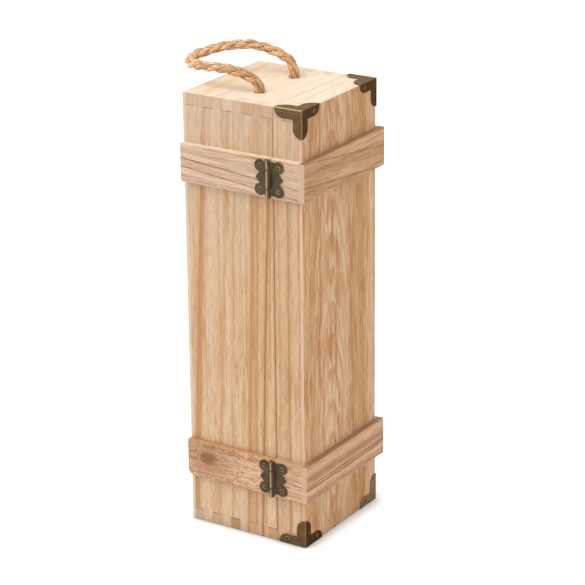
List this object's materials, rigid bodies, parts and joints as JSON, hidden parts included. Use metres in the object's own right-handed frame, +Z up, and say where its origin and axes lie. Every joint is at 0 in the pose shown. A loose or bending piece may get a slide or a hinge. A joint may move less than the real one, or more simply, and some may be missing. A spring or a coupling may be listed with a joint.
{
  "type": "wooden wine box",
  "caption": "Upright wooden box for one wine bottle, with a side-hinged lid, wrap-round battens, metal corners, swing hooks and a rope handle.",
  "frame": {"origin": "middle of the wooden box's base, on the surface that it stands on", "axes": "+Z up along the box's height; -Y is the lid's face, -X the hinge side, +X the hook side"},
  "size_m": [0.1228, 0.1312, 0.375],
  "materials": {
    "box_wood": "bare pale wood, sanded, with open grain",
    "batten_wood": "bare darker wood, sanded, with long grain",
    "antique_brass": "antique bronze wash over thin sheet, worn at the edges",
    "worn_brass": "antique bronze wash, rubbed bright where it is touched",
    "jute_rope": "three-strand twisted jute, matt and hairy"
  },
  "bodies": {
    "tray": {"back_panel": "box_wood", "hinge_side_board": "box_wood", "latch_side_board": "box_wood", "top_board": "box_wood", "bottom_board": "box_wood", "upper_hinge_side_batten": "batten_wood", "upper_latch_side_batten": "batten_wood", "lower_hinge_side_batten": "batten_wood", "lower_latch_side_batten": "batten_wood", "upper_hinge_tray_leaf": "antique_brass", "lower_hinge_tray_leaf": "antique_brass", "upper_hinge_pin": "worn_brass", "lower_hinge_pin": "worn_brass", "tray_hinge_nails": "antique_brass", "upper_hook_screw": "worn_brass", "lower_hook_screw": "worn_brass", "rope_end_hinge_side": "jute_rope", "rope_end_latch_side": "jute_rope"},
    "lid": {"lid_face_panel": "box_wood", "lid_hinge_strip": "box_wood", "lid_latch_strip": "box_wood", "lid_top_strip": "box_wood", "lid_bottom_strip": "box_wood", "upper_lid_front_batten": "batten_wood", "upper_lid_hinge_batten": "batten_wood", "upper_lid_latch_batten": "batten_wood", "lower_lid_front_batten": "batten_wood", "lower_lid_hinge_batten": "batten_wood", "lower_lid_latch_batten": "batten_wood", "upper_hinge_lid_leaf": "antique_brass", "lower_hinge_lid_leaf": "antique_brass", "lid_hinge_nails": "antique_brass", "corner_top_hinge_side": "antique_brass", "corner_top_latch_side": "antique_brass", "corner_bottom_hinge_side": "antique_brass", "corner_bottom_latch_side": "antique_brass", "corner_nails": "antique_brass", "upper_peg": "worn_brass", "lower_peg": "worn_brass"},
    "upper_hook": {"upper_hook": "antique_brass"},
    "lower_hook": {"lower_hook": "antique_brass"},
    "handle": {"rope_handle": "jute_rope"}
  },
  "joints": [
    {"name": "lid_hinge", "type": "hinge", "parent": "tray", "child": "lid", "pos_m": [-0.0598, -0.0272, 0], "axis": [0, 0, -1], "range_deg": [0, 180]},
    {"name": "upper_hook_swing", "type": "hinge", "parent": "tray", "child": "upper_hook", "pos_m": [0.0578, -0.017, 0.2965], "axis": [1, 0, 0], "range_deg": [0, 270]},
    {"name": "lower_hook_swing", "type": "hinge", "parent": "tray", "child": "lower_hook", "pos_m": [0.0578, -0.017, 0.055], "axis": [1, 0, 0], "range_deg": [0, 270]},
    {"name": "handle_fold", "type": "hinge", "parent": "tray", "child": "handle", "pos_m": [0, 0.0025, 0.3544], "axis": [1, 0, 0], "range_deg": [-10, 110]}
  ]
}
